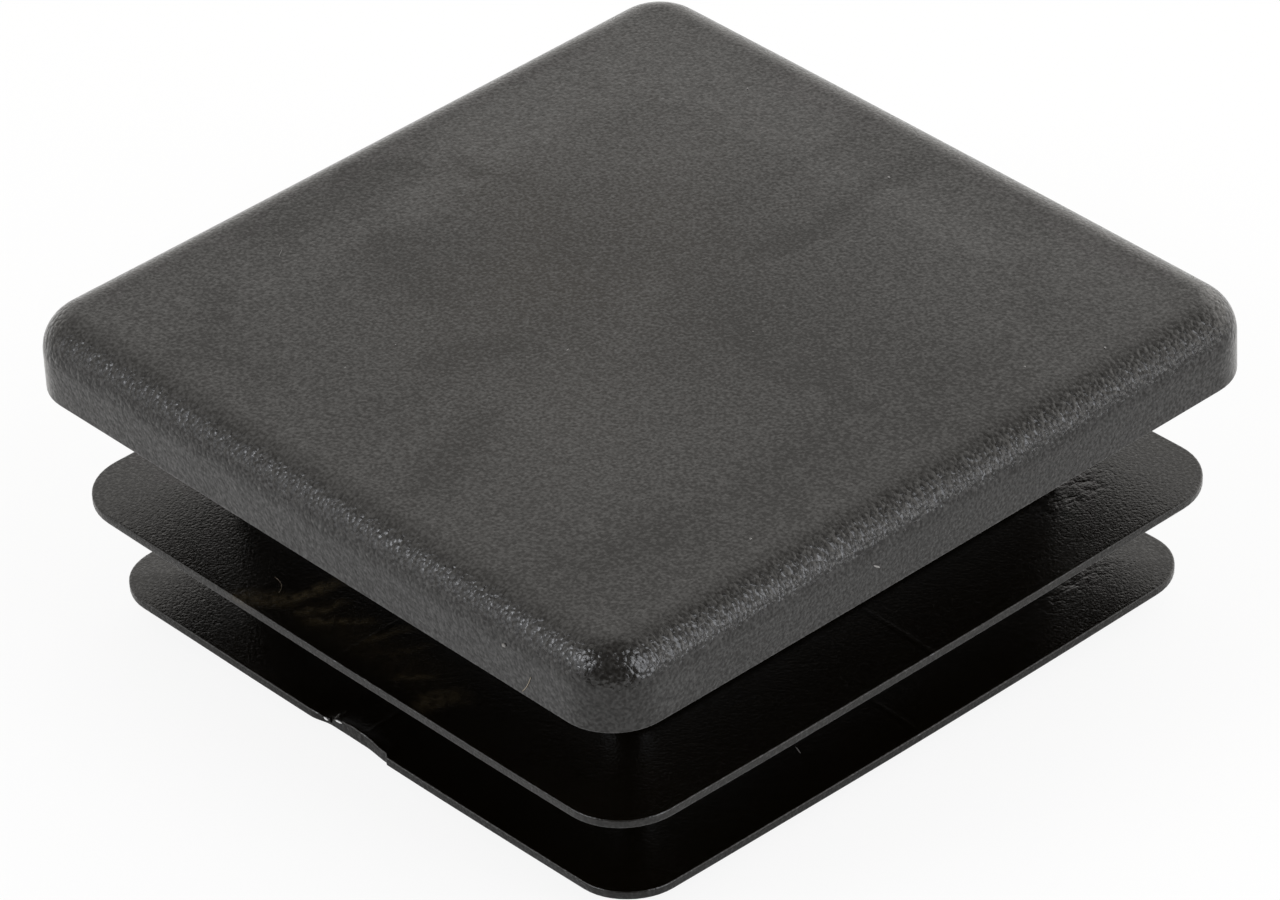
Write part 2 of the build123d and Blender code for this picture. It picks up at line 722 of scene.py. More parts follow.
FLOW_MARKS = (
    FlowMark(((-20.5, 19.2), (-7.1, 19.2)), 4.1, 1.2, 0.5),
    FlowMark(((-18.9, 17.0), (-18.9, 5.4)), 3.8, 1.3, 0.45),
    FlowMark(((-1.2, 21.0), (-1.2, 16.6)), 2.0, 0.6, 0.4),
    FlowMark(((2.6, 18.0), (10.6, 17.6)), 2.4, 1.0, 0.7),
    FlowMark(((14.0, 20.4), (21.0, 20.2)), 3.2, 0.8, 0.8),
    FlowMark(((-10.0, 12.0), (-14.0, 8.6)), 5.0, 0.7),
    FlowMark(((-16.8, 1.0), (-16.2, -2.6)), 2.2, 1.1, 0.6),
    FlowMark(((-16.6, -6.0), (-16.3, -14.0)), 1.6, 0.7),
    FlowMark(((-20.5, -18.5), (-19.0, -21.0)), 2.8, 0.5),
    FlowMark(((6.0, -10.0), (10.0, -14.0)), 8.0, 0.5),
    FlowMark(((-21.0, 17.0), (21.0, 17.0)), 12.0, 0.45),
    FlowMark(((-20.5, 1.0), (-20.5, 9.0)), 6.0, 0.4),
    FlowMark(((-0.4, 1.4), (1.8, -3.4)), 2.4, 0.8),
    FlowMark(((-7.0, -3.0), (4.0, 2.0)), 13.0, -0.9),
    FlowMark(((12.0, 4.0), (19.5, 6.5)), 6.5, -0.7),
    FlowMark(((19.4, 0.0), (19.4, -20.0)), 3.8, -0.5, 0.5),
    FlowMark(((-3.2, 20.0), (-3.5, 15.0), (-4.2, 10.0)), 1.2, -0.4, 0.8),
    FlowMark(((0.7, 18.8), (1.8, 14.5), (2.2, 11.5), (1.8, 8.5)), 1.3, -1.2, 0.8),
    FlowMark(((-2.4, 20.6), (1.6, 20.4)), 2.2, -0.9),
    FlowMark(((-2.8, 10.2), (-0.8, 7.4), (1.4, 10.0)), 3.0, -0.6),
    FlowMark(((1.6, 4.2), (5.6, 4.6)), 2.6, -0.3),
    FlowMark(((-21.9, -2.4), (-20.7, -0.5), (-19.4, 1.3), (-16.9, 2.7)), 1.3, -1.7, 0.8),
    FlowMark(((-17.0, 3.1), (-12.0, 3.4), (-8.0, 2.0)), 1.9, -0.3),
    FlowMark(((-20.4, -2.6), (-20.0, -6.4), (-20.8, -9.4)), 2.4, -1.3, 0.8),
    FlowMark(((-15.2, -6.2), (-11.6, -7.0), (-8.4, -7.5)), 1.9, -1.1),
    FlowMark(((-14.4, -4.6), (-8.2, -2.8)), 1.4, -0.5),
    FlowMark(((-7.6, 0.2), (-5.4, -0.2)), 1.7, -0.4),
    FlowMark(((-1.6, -7.6), (-2.8, -10.4), (-4.0, -12.2)), 2.0, -1.4),
    FlowMark(((-2.0, -12.4), (-2.4, -18.6)), 2.2, -0.4),
    FlowMark(((2.8, -13.8), (3.8, -17.4), (4.8, -20.2)), 2.1, -1.8),
    FlowMark(((4.2, -17.6), (6.4, -18.4)), 2.0, -0.5),
    FlowMark(((-17.4, -15.8), (-15.2, -18.6), (-14.2, -21.9)), 1.4, -1.4),
    FlowMark(((-14.4, -19.6), (-9.0, -19.4)), 1.7, -0.9),
    FlowMark(((18.0, -13.4), (17.4, -16.0), (15.4, -21.6)), 2.8, -1.1),
    FlowMark(((22.0, 3.5), (18.6, 1.9), (15.4, 1.3), (13.0, 2.1)), 1.2, -1.1, 0.8),
    FlowMark(((13.0, 2.1), (10.6, 0.8), (8.4, 1.4), (5.4, 1.8)), 1.3, -0.9, 0.8),
    FlowMark(((16.6, -1.8), (17.4, -5.2), (18.6, -7.6)), 2.6, -0.6),
    FlowMark(((18.6, -5.6), (21.6, -8.0)), 1.1, -0.6),
    FlowMark(((18.6, 13.6), (17.8, 5.4)), 2.0, -0.8),
    FlowMark(((13.4, 17.8), (16.8, 15.6), (19.4, 14.2)), 1.3, -0.8),
    FlowMark(((-21.0, 14.4), (-18.4, 16.4)), 1.1, -0.8),
)


@dataclass(frozen=True)
class TopFace:
    """What the flow of the melt left in the top face: ragged marks and a brown cloud.

    Attributes:
        lowest: The height that its points lie above.
        wander: How far the marks' edges wander, in millimetres.
        bends: Size of the wider bends in those edges.
        nicks: Size of the finer ones, which are half as deep.
        limit: The most gloss that marks add or take away where they overlap.
        cloud_middle: The middle of the cloud, as x - y and x + y in millimetres.
        cloud_size: How far the cloud reaches from there, measured in the same way.
        cloud_share: How brown the cloud is on average, and how much that changes.
        cloud_pitch: Size of those changes.
    """

    lowest: float = 4.5 * MM
    wander: float = 0.8
    bends: float = 2.2 * MM
    nicks: float = 0.8 * MM
    limit: float = 1.5
    cloud_middle: Span = (-6.0, -5.0)
    cloud_size: Span = (24.0, 14.0)
    cloud_share: Span = (0.8, 0.5)
    cloud_pitch: float = 6.0 * MM

    def gloss(self, point: Vector) -> float:
        """How much glossier than the rest the cap is at a point.

        Args:
            point: A point of the skin.

        Returns:
            The gloss, below 0 where it is duller.
        """
        if point.z < self.lowest:
            return 0.0
        drift = noise.noise_vector(point / self.bends) + 0.5 * noise.noise_vector(point / self.nicks)
        x, y = point.x / MM + self.wander * drift.x, point.y / MM + self.wander * drift.y
        return clamp(sum(mark.at(x, y) for mark in FLOW_MARKS), -self.limit, self.limit)

    def warmth(self, point: Vector) -> float:
        """How brown the black is at a point.

        Args:
            point: A point of the skin.

        Returns:
            0 where it is black, 1 where it is brownest.
        """
        if point.z < self.lowest:
            return 0.0
        spots = ((point.x - point.y) / MM, (point.x + point.y) / MM)
        cloud = math.prod(map(bell, spots, self.cloud_middle, self.cloud_size))
        average, change = self.cloud_share
        return clamp(cloud * (average + change * noise.noise(point / self.cloud_pitch)))


# ------------------------------------------------------------------------ the skin


@dataclass(frozen=True)
class Facets:
    """How the rings of the skin are divided.

    A side runs from one corner's middle to the next, and a place on it from -1 to 1.

    Attributes:
        per_side: Faces on a side, an even number.
        per_corner: How many of them lie on a corner's arc.
        crowding: Share of an even pitch that is left at the middle of a side.
    """

    per_side: int = 112
    per_corner: int = 12
    crowding: float = 0.38

    @property
    def straight(self) -> float:
        """The share of a side that is straight."""
        return 1.0 - self.per_corner / self.per_side

    def spread(self, share: float) -> float:
        """Where a share of the straight stretch falls, closer together at the middle."""
        return self.crowding * share + (1.0 - self.crowding) * share**3

    def on_side(self, place: float, outline: Outline) -> float:
        """How far from a side's middle a place on it falls in the top face.

        Args:
            place: The place, from -1 to 1.
            outline: The outline of the top face's flat middle.

        Returns:
            The distance, below 0 on the side's first half.
        """
        size = abs(place)
        flat = outline.half - outline.radius
        if size <= self.straight:
            return math.copysign(flat * self.spread(size / self.straight), place)
        share = (size - self.straight) / (1.0 - self.straight)
        return math.copysign(flat + outline.radius * share, place)

    def on_outline(self, plan: Vector, outline: Outline) -> Vector:
        """The point of an outline that belongs to a place on the border of the unit square.

        Args:
            plan: The place, with one coordinate at 1 or -1.
            outline: The outline that takes it.

        Returns:
            The point in the row frame.
        """
        faces_x = abs(plan.x) > 1.0 - TINY
        place, face = (plan.y, plan.x) if faces_x else (plan.x, plan.y)
        flat = outline.half - outline.radius
        if abs(place) <= self.straight:
            along, across = flat * self.spread(abs(place) / self.straight), outline.half
        else:
            angle = 0.25 * math.pi * (abs(place) - self.straight) / (1.0 - self.straight)
            along = flat + outline.radius * math.sin(angle)
            across = flat + outline.radius * math.cos(angle)
        along, across = math.copysign(along, place), math.copysign(across, face)
        return Vector((across, along, outline.z) if faces_x else (along, across, outline.z))


class MouldedSkin:
    """A closed skin that grows from the middle of the top face, one ring after another."""

    def __init__(self, facets: Facets, middle: Outline) -> None:
        """Starts the skin.

        Args:
            facets: How its rings are divided.
            middle: The outline of the flat middle of the top face.
        """
        self.facets = facets
        self.shape = bmesh.new()
        self.plan = self.shape.verts.layers.float_vector.new("plan")
        count = facets.per_side
        grid = bmesh.ops.create_grid(self.shape, x_segments=count, y_segments=count, size=1.0)
        for vert in grid["verts"]:
            vert[self.plan] = vert.co
            vert.co = (facets.on_side(vert.co.x, middle), facets.on_side(vert.co.y, middle), middle.z)
        self.border = [edge for edge in self.shape.edges if edge.is_boundary]

    def follow(self, profile: Profile) -> None:
        """Extrudes the skin's border along a profile.

        Args:
            profile: The outlines that it passes.
        """
        for outline in profile.outlines:
            self.border = extrude_border(self.shape, self.border)
            for vert in verts_of(self.border):
                vert.co = self.facets.on_outline(vert[self.plan], outline)

    def close(self) -> None:
        """Fills the last border and turns every face outwards."""
        bmesh.ops.contextual_create(self.shape, geom=self.border)
        self.shape.verts.layers.float_vector.remove(self.plan)
        bmesh.ops.recalc_face_normals(self.shape, faces=self.shape.faces)

    def refine(self, inside: Callable[[Vector], bool]) -> None:
        """Divides the faces in a region, so that they can take a finer shape."""
        edges = [edge for edge in self.shape.edges if all(inside(vert.co) for vert in edge.verts)]
        bmesh.ops.subdivide_edges(self.shape, edges=edges, cuts=1, use_grid_fill=True)

    def record(self, name: str, value: Callable[[Vector], float]) -> None:
        """Keeps a value at every point of the skin, for the finish to read.

        Args:
            name: The value's name.
            value: Gives the value at a point.
        """
        layer = self.shape.verts.layers.float.new(name)
        for vert in self.shape.verts:
            vert[layer] = value(vert.co)


@dataclass
class EndCap:
    """The whole cap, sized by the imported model.

    Attributes:
        low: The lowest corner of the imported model's box.
        high: Its highest corner.
        facets: How the skin is divided.
        core_inset: How far in from the head's side the core stands at the seat.
        upper_inset: How far in from the head's side the upper fin's rim lies.
        lower_inset: How far in from the head's side the lower fin's rim lies.
        border_row: Width of the widest row of faces around the middle of the top face.
        border_radius: Radius of that row's corners.
        margin: How far beyond the crushed rim the skin is divided more finely.
    """

    low: Vector
    high: Vector
    facets: Facets = Facets()
    core_inset: float = 7.5 * MM
    upper_inset: float = 1.27 * MM
    lower_inset: float = 2.55 * MM
    border_row: float = 2.6 * MM
    border_radius: float = 2.8 * MM
    margin: float = 0.5 * MM

    def __post_init__(self) -> None:
        """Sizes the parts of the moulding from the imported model's box."""
        half = self.high.x
        self.head = Head(half=half, height=self.high.z)
        self.core = Core(half=half - self.core_inset, depth=-self.low.z)
        self.upper_fin = Fin(
            half=half - self.upper_inset,
            top=-7.4 * MM,
            droop=0.16 * MM,
            lifts=(0.12 * MM, 0.23 * MM, 0.20 * MM, 0.14 * MM),
            corner_radius=3.9 * MM,
        )
        self.lower_fin = Fin(
            half=half - self.lower_inset,
            top=-13.55 * MM,
            droop=0.26 * MM,
            lifts=(0.05 * MM, 0.25 * MM, 0.21 * MM, 0.12 * MM),
            corner_radius=3.5 * MM,
        )
        self.fins = (self.upper_fin, self.lower_fin)
        self.ridges = tuple(PartingRidge(fin) for fin in self.fins)
        self.crushed_rim = CrushedRim(self.lower_fin)

    def profile(self) -> Profile:
        """Draws the cap's profile.

        Returns:
            Its outlines, from the middle of the top face to the middle of the cavity's roof.
        """
        flat = self.head.half - self.head.edge_radius
        profile = Profile(Outline(flat - self.border_row, self.border_radius, self.head.height))
        self.head.draw(profile, self.core.neck())
        self.core.draw_root(profile)
        for fin in self.fins:
            fin.draw(profile, self.core)
        self.core.draw_mouth(profile)
        self.core.draw_cavity(profile)
        return profile

    def shift(self, point: Vector) -> Vector:
        """How far the moulded cap departs from its true shape.

        Args:
            point: A point of the true shape.

        Returns:
            The point's movement.
        """
        moved = self.head.shift(point)
        for relief in (*self.fins, *self.ridges):
            moved += relief.shift(point, self.core)
        return moved + self.crushed_rim.shift(point)

    def build(self, material: bpy.types.Material) -> bpy.types.Object:
        """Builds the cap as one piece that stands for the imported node.

        Args:
            material: Its finish.

        Returns:
            The finished piece.
        """
        profile = self.profile()
        skin = MouldedSkin(self.facets, profile.outlines[0].grown(-self.border_row, self.head.height))
        skin.follow(profile)
        skin.close()
        skin.refine(lambda point: self.crushed_rim.near(point, self.margin))
        skin.refine(lambda point: self.crushed_rim.near_tear(point, self.margin))
        top = TopFace()
        skin.record(GLOSS, top.gloss)
        skin.record(WARMTH, top.warmth)
        for vert in skin.shape.verts:
            vert.co += self.shift(vert.co)
        log.info("profile: %d rows", len(profile.outlines))
        piece = show_piece(skin.shape, "moulded_cap", material)
        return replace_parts(piece, NODE)


# ------------------------------------------------------------------------ shader graphs


class Signal:
    """An output socket whose arithmetic adds Math nodes."""

    def __init__(self, graph: "NodeGraph", socket: bpy.types.NodeSocket) -> None:
        """Wraps a socket of a graph."""
        self.graph = graph
        self.socket = socket

    def __add__(self, other: "Signal | float") -> "Signal":
        """Sum."""
        return self.graph.math("ADD", self, other)

    def __sub__(self, other: "Signal | float") -> "Signal":
        """Difference."""
        return self.graph.math("SUBTRACT", self, other)

    def __rsub__(self, other: float) -> "Signal":
        """Difference from a number."""
        return self.graph.math("SUBTRACT", other, self)

    def __mul__(self, other: "Signal | float") -> "Signal":
        """Product."""
        return self.graph.math("MULTIPLY", self, other)

    __radd__ = __add__
    __rmul__ = __mul__


class NodeGraph:
    """Adds nodes to one node tree."""

    def __init__(self, tree: bpy.types.NodeTree) -> None:
        """Empties the tree and keeps it."""
        self.tree = tree
        tree.nodes.clear()

    def node(
        self,
        kind: str,
        settings: dict | None = None,
        sockets: dict | None = None,
        output: int | str = 0,
    ) -> "Signal | None":
        """Adds a node.

        Args:
            kind: The node's type.
            settings: Its own properties, set first.
            sockets: Values or signals of its inputs, by name or index.
            output: The output that is handed back.

        Returns:
            That output, or None from a node without outputs.
        """
        made = self.tree.nodes.new(kind)
        for name, value in (settings or {}).items():
            setattr(made, name, value)
        for key, value in (sockets or {}).items():
            if isinstance(value, Signal):
                self.tree.links.new(value.socket, made.inputs[key])
            else:
                made.inputs[key].default_value = value
        return Signal(self, made.outputs[output]) if len(made.outputs) else None

    def coordinate(self, kind: str) -> Signal:
        """Adds a Texture Coordinate node."""
        return self.node("ShaderNodeTexCoord", output=kind)

    def attribute(self, name: str) -> Signal:
        """Reads a value that the skin keeps at its points."""
        return self.node("ShaderNodeAttribute", {"attribute_name": name}, output="Fac")

    def axis(self, vector: Signal, name: str) -> Signal:
        """Takes one coordinate, X, Y or Z, of a vector."""
        return self.node("ShaderNodeSeparateXYZ", {}, {"Vector": vector}, output=name)

    def math(self, operation: str, *values: "Signal | float") -> Signal:
        """Adds a Math node."""
        return self.node("ShaderNodeMath", {"operation": operation}, dict(enumerate(values)))

    def vector_math(self, operation: str, *values: "Signal | tuple", output: int = 0) -> Signal:
        """Adds a Vector Math node."""
        sockets = dict(enumerate(values))
        return self.node("ShaderNodeVectorMath", {"operation": operation}, sockets, output)

    def ease(
        self, value: Signal, start: float, end: float, low: float = 0.0, high: float = 1.0
    ) -> Signal:
        """Rises smoothly from one level to another.

        Args:
            value: What it follows.
            start: The value at which it starts to rise.
            end: The value at which it ends.
            low: Its level before that.
            high: Its level after it.

        Returns:
            The level.
        """
        settings = {"interpolation_type": "SMOOTHSTEP"}
        sockets = {"Value": value, "From Min": start, "From Max": end, "To Min": low, "To Max": high}
        return self.node("ShaderNodeMapRange", settings, sockets)

    def mix(self, factor: "Signal | float", first: "Signal | tuple", second: "Signal | tuple") -> Signal:
        """Mixes two colours.

        Args:
            factor: The share of the second one.
            first: The first colour.
            second: The second colour.

        Returns:
            The mixed colour.
        """
        factor_socket, first_socket, second_socket, colour_output = 0, 6, 7, 2
        sockets = {factor_socket: factor, first_socket: first, second_socket: second}
        return self.node("ShaderNodeMix", {"data_type": "RGBA"}, sockets, colour_output)

    def noise(self, place: Signal, pitch: float, detail: float = 2.0, roughness: float = 0.5) -> Signal:
        """Adds a Noise Texture.

        Args:
            place: Where it is read.
            pitch: The size of its largest features, in metres.
            detail: How many finer layers it has.
            roughness: How strong the finer layers are.

        Returns:
            Its value, about 0.5 on average.
        """
        sockets = {"Vector": place, "Scale": 1.0 / pitch, "Detail": detail, "Roughness": roughness}
        return self.node("ShaderNodeTexNoise", {}, sockets)


def start_material(name: str) -> tuple[bpy.types.Material, NodeGraph]:
    """Starts a material.

    Args:
        name: Its name.

    Returns:
        The material and its graph, which is still empty.
    """
    material = bpy.data.materials.new(name)
    material.use_nodes = True
    return material, NodeGraph(material.node_tree)


@dataclass(frozen=True)
class Grain:
    """One layer of the grain that an eroded mould leaves: round pebbles, packed side by side.

    Attributes:
        pitch: From one pebble to the next.
        height: How far a pebble's surface falls off one pitch away from its middle.
        ragged: Height of the finer roughness on the pebbles.
    """

    pitch: float
    height: float
    ragged: float

    def relief(self, graph: NodeGraph, place: Signal) -> Signal:
        """Its height.

        Args:
            graph: The graph that takes it.
            place: Where it is read.

        Returns:
            The height, in metres.
        """
        sockets = {"Vector": place, "Scale": 1.0 / self.pitch}
        distance = graph.node("ShaderNodeTexVoronoi", {}, sockets, output="Distance")
        finer = graph.noise(place, 0.5 * self.pitch, detail=1.0) * self.ragged
        return finer - distance * distance * self.height


@dataclass(frozen=True)
class Streak:
    """A brown streak on the upper fin's top, towards its front. In millimetres.

    SETS_IN and DIES_OUT are the shares of its length over which it comes and goes, and SOFT_EDGE
    those of its half width.

    Attributes:
        start: Where it begins, as x and y.
        end: Where it dies out, as x and y.
        half_width: From its middle line to its edge.
        share: How brown it is, from 0 to 1.
    """

    SETS_IN = (-0.1, 0.25)
    DIES_OUT = (1.15, 0.7)
    SOFT_EDGE = (1.3, 0.0)

    start: Span
    end: Span
    half_width: float
    share: float

    def at(self, graph: NodeGraph, place: Signal) -> Signal:
        """How brown it makes the cap.

        Args:
            graph: The graph that takes it.
            place: Where it is read.

        Returns:
            The brown's share, from 0 to 1.
        """
        (x, y), (end_x, end_y) = self.start, self.end
        length = math.hypot(end_x - x, end_y - y)
        sockets = {
            "Vector": place,
            "Location": (x * MM, y * MM, 0.0),
            "Rotation": (0.0, 0.0, math.atan2(end_y - y, end_x - x)),
            "Scale": (length * MM, self.half_width * MM, 1.0),
        }
        own = graph.node("ShaderNodeMapping", {"vector_type": "TEXTURE"}, sockets)
        along, across = graph.axis(own, "X"), graph.math("ABSOLUTE", graph.axis(own, "Y"))
        ends = graph.ease(along, *self.SETS_IN) * graph.ease(along, *self.DIES_OUT)
        return graph.ease(across, *self.SOFT_EDGE) * ends * self.share


STREAKS = (
    Streak((-9.0, -24.2), (-5.2, -21.3), 0.95, 0.62),
    Streak((-6.1, -22.4), (-5.0, -18.5), 0.62, 0.95),
    Streak((-4.6, -22.5), (-3.3, -19.6), 0.46, 0.62),
    Streak((-3.9, -22.6), (-0.8, -19.7), 0.48, 0.66),
    Streak((0.2, -21.8), (0.8, -18.7), 0.46, 0.42),
    Streak((2.0, -21.7), (2.8, -19.0), 0.46, 0.30),
    Streak((3.3, -22.7), (5.5, -20.8), 0.44, 0.36),
    Streak((6.4, -23.5), (8.0, -20.6), 0.95, 0.42),
    Streak((-6.5, -21.6), (7.0, -21.0), 1.9, 0.14),
)


@dataclass(frozen=True)
class FinStreaks:
    """The brown streaks together, lumpy and wavy.

    Attributes:
        pitch: Size of the lumps.
        lumps: Where in the noise a lump begins and where it is full.
        between: How brown a streak is between its lumps, as a share of the lumps' brown.
        wave: How far the streaks wander sideways.
        wave_pitch: Size of the bends in them.
        top: From where to where upwards they set in, so that only the upper fin's top has them.
    """

    pitch: float = 0.4 * MM
    lumps: Span = (0.30, 0.66)
    between: float = 0.2
    wave: float = 0.8 * MM
    wave_pitch: float = 1.6 * MM
    top: Span = (-7.95 * MM, -7.75 * MM)

    def share(self, graph: NodeGraph, place: Signal) -> Signal:
        """How brown the cap is.

        Args:
            graph: The graph that takes it.
            place: Where it is read.

        Returns:
            The brown's share, from 0 to 1.
        """
        wander = graph.noise(place, self.wave_pitch, detail=3.0) - 0.5
        sideways = graph.vector_math("MULTIPLY", wander, (2.0 * self.wave, 0.0, 0.0))
        swayed = graph.vector_math("ADD", place, sideways)
        brown = STREAKS[0].at(graph, swayed)
        for streak in STREAKS[1:]:
            brown = graph.math("MAXIMUM", brown, streak.at(graph, swayed))
        coarse = graph.noise(place, self.pitch, detail=3.0, roughness=0.7)
        lumps = graph.ease(coarse, *self.lumps, self.between, 1.0)
        return brown * lumps * graph.ease(graph.axis(place, "Z"), *self.top)


@dataclass(frozen=True)
class Surface:
    """How one part of the cap takes the light.

    Attributes:
        index: Its refractive index.
        roughness: How rough it is on average.
        bloom: How much waxy bloom lies on it on average.
        speckle: How uneven the bloom is from spot to spot.
    """

    index: float
    roughness: float
    bloom: float
    speckle: float

    def shade(
        self, graph: NodeGraph, colour: Signal, uneven: Signal, bloom: Signal, normal: Signal
    ) -> Signal:
        """Adds its shader.

        Args:
            graph: The graph that takes it.
            colour: Its colour.
            uneven: What is added to its roughness.
            bloom: How much bloom lies on it.
            normal: Its bent normal.

        Returns:
            The shader.
        """
        rough = uneven + self.roughness
        sockets = {"Base Color": colour, "Roughness": rough, "IOR": self.index, "Normal": normal}
        sockets |= {"Coat Weight": bloom, "Coat Roughness": self.roughness, "Coat Normal": normal}
        return graph.node("ShaderNodeBsdfPrincipled", {}, sockets)


@dataclass(frozen=True)
class MouldedPolyethylene:
    """Black polyethylene with the fine pebble grain of an eroded mould and a faint waxy bloom.

    Attributes:
        name: The material's name.
        colour: The plastic's black.
        warm_colour: Its black where it is brownest.
        pale_colour: The palest spots of the bloom on the head.
        streak_colour: The brown of the streaks.
        head: How the head takes the light.
        fins: How everything below the head does.
        seat: From where to where upwards the fins' finish turns into the head's.
        mark_bloom: How much bloom a glossy mark adds.
        cloud_pitch: Size of the clouds in the finish.
        cloud_bloom: How much bloom they add or take away.
        cloud_roughness: How much roughness they add or take away.
        speckle_pitch: Size of the spots in the bloom.
        pale_starts: Where in the noise a pale spot begins and where it is full.
        pale_share: How pale such a spot is at most.
        flat_grain: The grain of the head.
        bend_grain: The coarser grain that is added where the head's edges bend.
        bend: From where to where that grain sets in, as u times 1 - u for a normal whose Z is u.
        fin_grain: The grain of the fins.
        root_grain: The coarser grain that is added at the fins' right roots.
        root_reach: From where to where along -X that grain sets in.
        root_starts: From where to where along +Y it sets in.
        root_ends: From where to where along -Y it sets in.
        root_stretch: How much longer than wide its pebbles are.
        streaks: The brown streaks.
    """

    name: str = "black_polyethylene"
    colour: Colour = (0.0014, 0.0008, 0.0001, 1.0)
    warm_colour: Colour = (0.0060, 0.0036, 0.0012, 1.0)
    pale_colour: Colour = (0.0155, 0.0149, 0.0136, 1.0)
    streak_colour: Colour = (0.0420, 0.0320, 0.0170, 1.0)
    head: Surface = Surface(index=1.40, roughness=0.20, bloom=0.24, speckle=1.28)
    fins: Surface = Surface(index=1.44, roughness=0.22, bloom=0.09, speckle=1.8)
    seat: Span = (-0.4 * MM, 0.0)
    mark_bloom: float = 0.13
    cloud_pitch: float = 5.0 * MM
    cloud_bloom: float = 0.16
    cloud_roughness: float = 0.12
    speckle_pitch: float = 0.19 * MM
    pale_starts: Span = (0.40, 0.66)
    pale_share: float = 0.5
    flat_grain: Grain = Grain(0.26 * MM, 0.014 * MM, 0.010 * MM)
    bend_grain: Grain = Grain(0.35 * MM, 0.046 * MM, 0.005 * MM)
    bend: Span = (0.02, 0.16)
    fin_grain: Grain = Grain(0.18 * MM, 0.0130 * MM, 0.012 * MM)
    root_grain: Grain = Grain(0.34 * MM, 0.040 * MM, 0.008 * MM)
    root_reach: Span = (20.6 * MM, 18.8 * MM)
    root_starts: Span = (11.5 * MM, 14.0 * MM)
    root_ends: Span = (21.0 * MM, 16.5 * MM)
    root_stretch: float = 2.0
    streaks: FinStreaks = FinStreaks()

    def build(self) -> bpy.types.Material:
        """Builds the material.

        Returns:
            The finished material.
        """
        material, graph = start_material(self.name)
        place = graph.coordinate("Object")
        on_head = graph.ease(graph.axis(place, "Z"), *self.seat)
        clouds = graph.noise(place, self.cloud_pitch, detail=4.0, roughness=0.6) - 0.5
        uneven = clouds * self.cloud_roughness
        grain = self.grain(graph, place, on_head)
        speckle = graph.noise(place, self.speckle_pitch, detail=1.0) - 0.5
        black = graph.mix(graph.attribute(WARMTH), self.colour, self.warm_colour)

        pale = graph.ease(graph.noise(place, self.speckle_pitch, detail=0.0), *self.pale_starts)
        dusted = graph.mix(pale * self.pale_share, black, self.pale_colour)
        marks = self.head.bloom + graph.attribute(GLOSS) * self.mark_bloom
        bloom = marks + clouds * self.cloud_bloom + speckle * self.head.speckle
        head = self.head.shade(graph, dusted, uneven, bloom, grain)

        streaked = graph.mix(self.streaks.share(graph, place), black, self.streak_colour)
        bloom = self.fins.bloom + speckle * self.fins.speckle
        fins = self.fins.shade(graph, streaked, uneven, bloom, grain)

        shader = graph.node("ShaderNodeMixShader", {}, {0: on_head, 1: fins, 2: head})
        graph.node("ShaderNodeOutputMaterial", {}, {"Surface": shader})
        return material

    def grain(self, graph: NodeGraph, place: Signal, on_head: Signal) -> Signal:
        """The pebble grain, deeper on the head's bends and at the fins' right roots.

        Args:
            graph: The graph that takes it.
            place: Where it is read.
            on_head: 1 on the head, 0 below it.

        Returns:
            The bent normal.
        """
        x, y = graph.axis(place, "X"), graph.axis(place, "Y")
        upright = graph.axis(graph.coordinate("Normal"), "Z")
        bent = graph.ease(upright * (1.0 - upright), *self.bend) * on_head
        beside_root = graph.ease(x, *self.root_reach)
        root = beside_root * graph.ease(y, *self.root_starts) * graph.ease(y, *self.root_ends)
        long = graph.vector_math("MULTIPLY", place, (1.0, 1.0 / self.root_stretch, 1.0))
        head = self.flat_grain.relief(graph, place) + self.bend_grain.relief(graph, place) * bent
        fins = self.fin_grain.relief(graph, place) + self.root_grain.relief(graph, long) * root
        height = head * on_head + fins * (1.0 - on_head)
        return graph.node("ShaderNodeBump", {}, {"Strength": 1.0, "Distance": 1.0, "Height": height})


# ------------------------------------------------------------------------ dust and lint


@dataclass(frozen=True)
class Fibre:
    """A lint fibre that lies on the cap in one bend. Its places and sizes are in millimetres.

    Attributes:
        name: Its name.
        start: Its first end.
        bend: The point that it bends towards.
        end: Its other end.
        thickness: Its diameter.
        steps: Straight stretches along it.
        sides: Faces around it.
    """

    name: str
    start: Place
    bend: Place
    end: Place
    thickness: float
    steps: int = 12
    sides: int = 6

    def route(self) -> list[Vector]:
        """The points along the fibre's middle."""
        start, bend, end = (Vector(place) * MM for place in (self.start, self.bend, self.end))
        shares = [step / self.steps for step in range(self.steps + 1)]
        return [start.lerp(bend, share).lerp(bend.lerp(end, share), share) for share in shares]

    def build(self, material: bpy.types.Material) -> bpy.types.Object:
        """Builds the fibre as a thin bent rod.

        Args:
            material: Its finish.

        Returns:
            The finished piece.
        """
        route = self.route()
        ways = [(after - before).normalized() for before, after in zip(route, route[1:])]
        shape = bmesh.new()
        place = Matrix.Translation(route[0]) @ ways[0].to_track_quat("Z", "Y").to_matrix().to_4x4()
        radius = 0.5 * self.thickness * MM
        bmesh.ops.create_circle(shape, segments=self.sides, radius=radius, matrix=place)
        border = list(shape.edges)
        bmesh.ops.contextual_create(shape, geom=border)
        for before, after, way, next_way in zip(route, route[1:], ways, [*ways[1:], ways[-1]]):
            border = extrude_border(shape, border)
            ring = verts_of(border)
            turn = way.rotation_difference(next_way).to_matrix()
            bmesh.ops.translate(shape, verts=ring, vec=after - before)
            bmesh.ops.rotate(shape, verts=ring, cent=after, matrix=turn)
        bmesh.ops.contextual_create(shape, geom=border)
        bmesh.ops.recalc_face_normals(shape, faces=shape.faces)
        return show_piece(shape, self.name, material)


